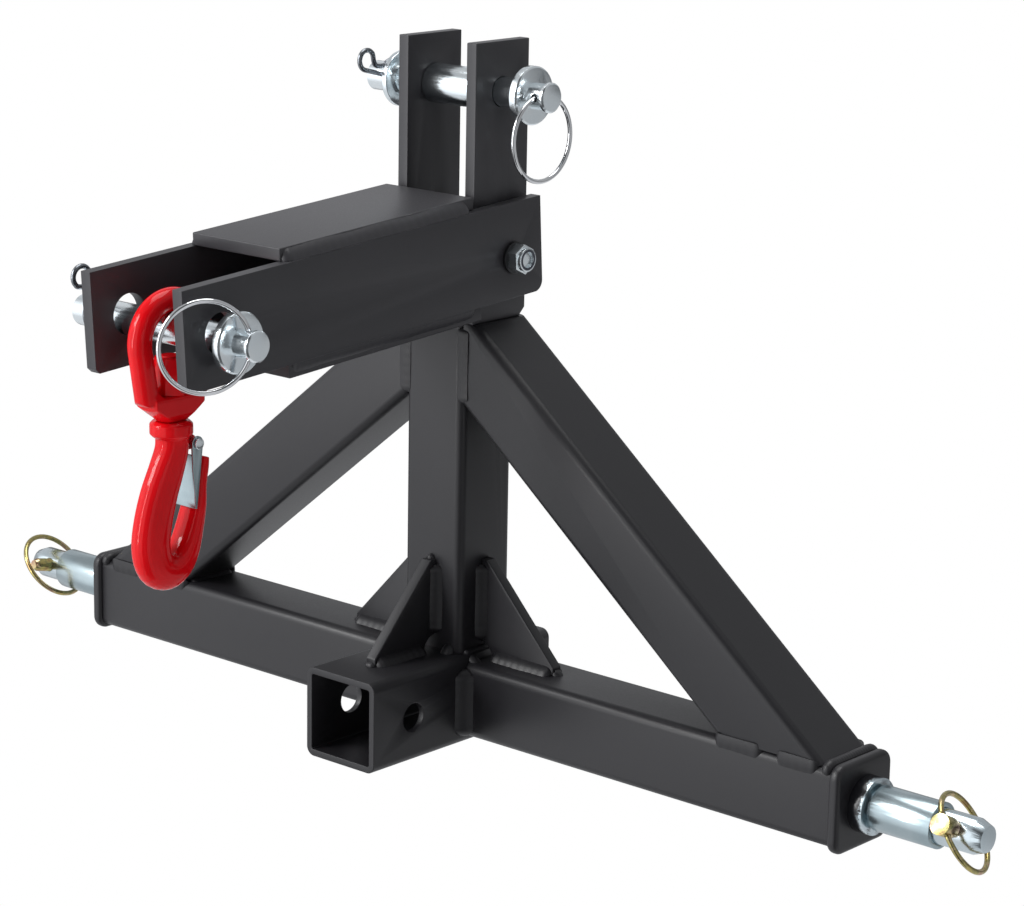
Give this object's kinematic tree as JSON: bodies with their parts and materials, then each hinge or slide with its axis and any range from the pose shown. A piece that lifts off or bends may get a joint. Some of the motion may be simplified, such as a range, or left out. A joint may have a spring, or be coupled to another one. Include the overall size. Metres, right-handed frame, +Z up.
{
  "type": "three point hitch",
  "caption": "Three point hitch frame with an A shaped mast, receiver tube, lift pins, top link pin and a tilting arm that carries a swivel hook.",
  "frame": {"origin": "underside of the receiver tube, below the middle of the mast", "axes": "+X across the frame along the lift pins, -Y towards the receiver's mouth and the arm's free end, +Z up the mast"},
  "size_m": [0.839, 0.3613, 0.4595],
  "materials": {
    "black_coat": "satin",
    "zinc": "satin",
    "yellow_zinc": "satin",
    "red_enamel": "gloss",
    "dark_steel": "satin"
  },
  "bodies": {
    "frame": {"receiver_tube": "black_coat", "beam_left": "black_coat", "beam_right": "black_coat", "end_cap_left": "black_coat", "end_cap_right": "black_coat", "mast_tube": "black_coat", "brace_left": "black_coat", "brace_right": "black_coat", "gusset_front": "black_coat", "gusset_left": "black_coat", "gusset_right": "black_coat", "upright_left": "black_coat", "upright_right": "black_coat", "frame_welds": "black_coat", "lift_pin_left": "zinc", "lift_pin_right": "zinc"},
    "arm": {"arm_side_left": "black_coat", "arm_side_right": "black_coat", "arm_top_plate": "black_coat", "arm_bottom_plate": "black_coat", "arm_welds": "black_coat", "arm_bolt": "dark_steel", "arm_bolt_nut": "zinc", "arm_bolt_washer": "dark_steel"},
    "top_pin": {"top_link_pin": "zinc", "top_washer_inner": "zinc", "top_washer_outer": "zinc", "top_pin_clip": "dark_steel"},
    "top_ring": {"top_pin_ring": "zinc"},
    "top_sleeve": {"top_link_sleeve": "zinc"},
    "hook_pin": {"hook_pin": "zinc", "hook_pin_clip": "dark_steel"},
    "hook_ring": {"hook_pin_ring": "zinc"},
    "eye": {"hook_eye": "red_enamel"},
    "hook": {"hook_body": "red_enamel", "swivel_nut": "red_enamel", "latch_rivet": "zinc", "latch_spring": "dark_steel"},
    "latch": {"hook_latch": "zinc"},
    "sleeve_left": {"lift_sleeve_left": "zinc"},
    "sleeve_right": {"lift_sleeve_right": "zinc"},
    "linch_left": {"linch_pin_left": "yellow_zinc"},
    "linch_right": {"linch_pin_right": "yellow_zinc"},
    "linch_ring_left": {"linch_ring_left": "yellow_zinc"},
    "linch_ring_right": {"linch_ring_right": "yellow_zinc"}
  },
  "joints": [
    {"name": "arm_tilt", "type": "hinge", "parent": "frame", "child": "arm", "pos_m": [0, 0.0015, 0.3227], "axis": [-1, 0, 0], "range_deg": [0, 7]},
    {"name": "top_pin_spin", "type": "hinge", "parent": "frame", "child": "top_pin", "pos_m": [0, 0, 0.4275], "axis": [1, 0, 0], "continuous": true},
    {"name": "top_ring_swing", "type": "hinge", "parent": "top_pin", "child": "top_ring", "pos_m": [0.0665, 0, 0.4275], "axis": [0, 1, 0], "range_deg": [-90, 9]},
    {"name": "top_sleeve_spin", "type": "hinge", "parent": "frame", "child": "top_sleeve", "pos_m": [0, 0, 0.4275], "axis": [1, 0, 0], "continuous": true},
    {"name": "hook_pin_turn", "type": "hinge", "parent": "arm", "child": "hook_pin", "pos_m": [0, -0.25376, 0.30759], "axis": [1, 0, 0], "range_deg": [-12, 12]},
    {"name": "hook_ring_swing", "type": "hinge", "parent": "hook_pin", "child": "hook_ring", "pos_m": [0.0665, -0.25376, 0.30759], "axis": [0, 0, 1], "range_deg": [0, 110]},
    {"name": "hook_swing", "type": "hinge", "parent": "arm", "child": "eye", "pos_m": [0, -0.25376, 0.30759], "axis": [1, 0, 0], "range_deg": [-80, 38]},
    {"name": "hook_swivel", "type": "hinge", "parent": "eye", "child": "hook", "pos_m": [0, -0.25376, 0.25241], "axis": [0, 0, 1], "continuous": true},
    {"name": "latch_open", "type": "hinge", "parent": "hook", "child": "latch", "pos_m": [0, -0.24076, 0.23711], "axis": [-1, 0, 0], "range_deg": [0, 12], "stiffness_Nm_per_rad": 0.02, "springref_deg": -34.38},
    {"name": "sleeve_left_spin", "type": "hinge", "parent": "frame", "child": "sleeve_left", "pos_m": [-0.3415, 0, 0.03], "axis": [1, 0, 0], "continuous": true},
    {"name": "sleeve_right_spin", "type": "hinge", "parent": "frame", "child": "sleeve_right", "pos_m": [0.3415, 0, 0.03], "axis": [1, 0, 0], "continuous": true},
    {"name": "linch_left_turn", "type": "hinge", "parent": "frame", "child": "linch_left", "pos_m": [-0.3995, 0, 0.03], "axis": [0, 0.9781, -0.2079], "range_deg": [0, 43]},
    {"name": "linch_right_turn", "type": "hinge", "parent": "frame", "child": "linch_right", "pos_m": [0.3995, 0, 0.03], "axis": [0, 0.9063, -0.4226], "range_deg": [0, 36]},
    {"name": "linch_ring_left_flip", "type": "hinge", "parent": "linch_left", "child": "linch_ring_left", "pos_m": [-0.3995, 0.01726, 0.02633], "axis": [0.682, -0.1521, -0.7154], "range_deg": [0, 14]},
    {"name": "linch_ring_right_flip", "type": "hinge", "parent": "linch_right", "child": "linch_ring_right", "pos_m": [0.3995, -0.016, 0.03746], "axis": [0.5878, -0.3419, -0.7332], "range_deg": [0, 24]}
  ]
}
